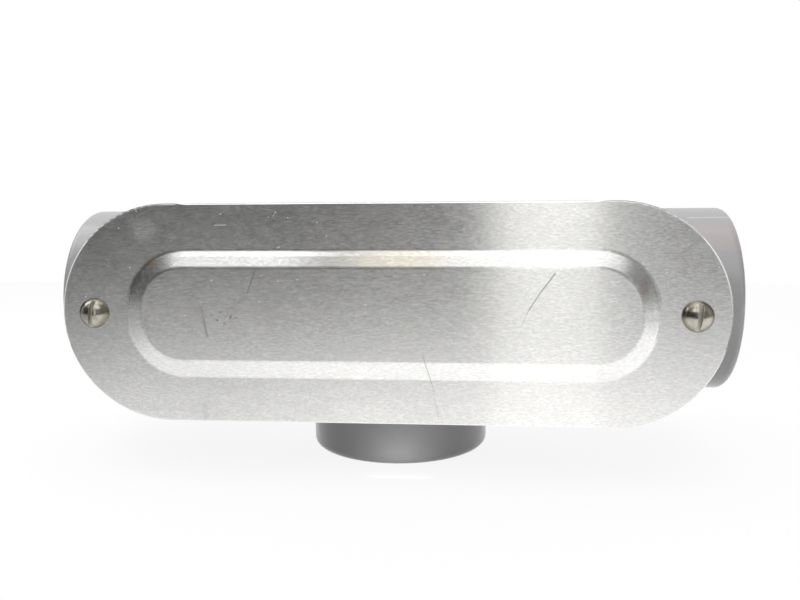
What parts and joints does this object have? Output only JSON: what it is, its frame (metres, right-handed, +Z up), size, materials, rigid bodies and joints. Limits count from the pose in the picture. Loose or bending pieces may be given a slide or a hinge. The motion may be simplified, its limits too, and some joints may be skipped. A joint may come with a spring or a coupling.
{
  "type": "conduit body",
  "caption": "Tee-shaped cast aluminium conduit body: threaded hubs at both ends and below, wiring trough closed by a stamped obround cover on slotted screws.",
  "frame": {"origin": "centre of the branch hub's mouth, on the plane that the part stands on", "axes": "+Z up, from the branch hub's mouth to the run axis; +X along the run to the right-hand hub as seen from the cover; -Y is the way the cover faces"},
  "size_m": [0.25, 0.0903, 0.0975],
  "materials": {
    "painted_casting": "satin",
    "bare_aluminium": "satin",
    "gasket_rubber": "matte",
    "nickel_plate": "polished"
  },
  "bodies": {
    "housing": {"body_casting": "painted_casting", "cover_gasket": "gasket_rubber"},
    "cover": {"cover_plate": "bare_aluminium"},
    "screw_left": {"cover_screw_left": "nickel_plate"},
    "screw_right": {"cover_screw_right": "nickel_plate"}
  },
  "joints": [
    {"name": "cover_lift", "type": "slide", "parent": "housing", "child": "cover", "axis": [0, -1, 0], "range_m": [0, 0.04]},
    {"name": "screw_left_turn", "type": "hinge", "parent": "cover", "child": "screw_left", "pos_m": [-0.1038, -0.0516, 0.059], "axis": [0, -1, 0], "continuous": true},
    {"name": "screw_right_turn", "type": "hinge", "parent": "cover", "child": "screw_right", "pos_m": [0.1038, -0.0516, 0.059], "axis": [0, -1, 0], "continuous": true}
  ]
}
